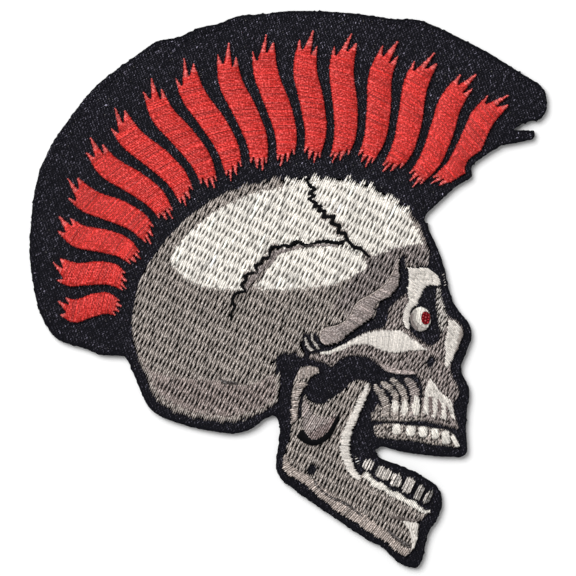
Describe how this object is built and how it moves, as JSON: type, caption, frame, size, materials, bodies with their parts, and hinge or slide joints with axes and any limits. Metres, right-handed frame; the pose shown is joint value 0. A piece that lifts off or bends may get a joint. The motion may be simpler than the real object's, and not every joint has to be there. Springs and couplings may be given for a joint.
{
  "type": "embroidered patch",
  "caption": "Flat embroidered patch cut to the outline of a skull in profile with a tall swept crest of hair, in grey, white and red stitching on black cloth.",
  "frame": {"origin": "on the flat back, at the middle of the patch's box", "axes": "+Z out of the embroidered face, +Y to the top of the picture, +X to the side that the skull faces"},
  "size_m": [0.093, 0.1, 0.0021],
  "materials": {
    "black_cloth": "matt black twill ground of the patch",
    "black_thread": "black satin stitch with a soft sheen",
    "red_thread": "bright red satin stitch with a soft sheen",
    "grey_thread": "warm grey fill stitch",
    "mauve_thread": "dull mauve-grey satin stitch",
    "white_thread": "off-white fill and satin stitch",
    "iris_thread": "deep red satin stitch"
  },
  "bodies": {
    "root": {"alveolar_ridge_1": "grey_thread", "alveolar_ridge_2": "grey_thread", "alveolar_ridge_3": "grey_thread", "alveolar_ridge_4": "grey_thread", "brow_highlight": "white_thread", "cheek_highlight": "white_thread", "chin_highlight": "white_thread", "coronal_suture": "black_thread", "cranium_fill": "grey_thread", "crest_lock_01": "red_thread", "crest_lock_02": "red_thread", "crest_lock_03": "red_thread", "crest_lock_04": "red_thread", "crest_lock_05": "red_thread", "crest_lock_06": "red_thread", "crest_lock_07": "red_thread", "crest_lock_08": "red_thread", "crest_lock_09": "red_thread", "crest_lock_10": "red_thread", "crest_lock_11": "red_thread", "crest_lock_12": "red_thread", "crest_lock_13": "red_thread", "crest_lock_14": "red_thread", "crest_lock_15": "red_thread", "crest_lock_16": "red_thread", "crown_highlight_back": "white_thread", "crown_highlight_front": "white_thread", "edge_border": "black_thread", "eyeball": "white_thread", "face_fill": "grey_thread", "ground_cloth": "black_cloth", "gum_highlight": "white_thread", "iris": "iris_thread", "jaw_fill": "grey_thread", "jaw_ridge": "mauve_thread", "lower_tooth_1": "grey_thread", "lower_tooth_2": "grey_thread", "lower_tooth_3": "grey_thread", "lower_tooth_4": "grey_thread", "lower_tooth_5": "grey_thread", "lower_tooth_6": "grey_thread", "maxilla_highlight": "white_thread", "nape_shade": "mauve_thread", "nose_highlight": "white_thread", "ramus_highlight": "white_thread", "ramus_hollow": "mauve_thread", "ramus_shadow": "black_thread", "squamous_suture": "black_thread", "temple_arc_1": "mauve_thread", "temple_arc_2": "mauve_thread", "temple_highlight": "white_thread", "temple_ridge": "mauve_thread", "upper_teeth_fill": "grey_thread", "upper_tooth_1": "white_thread", "upper_tooth_2": "white_thread", "upper_tooth_3": "white_thread", "upper_tooth_4": "white_thread", "upper_tooth_5": "white_thread", "upper_tooth_6": "white_thread"}
  },
  "joints": []
}
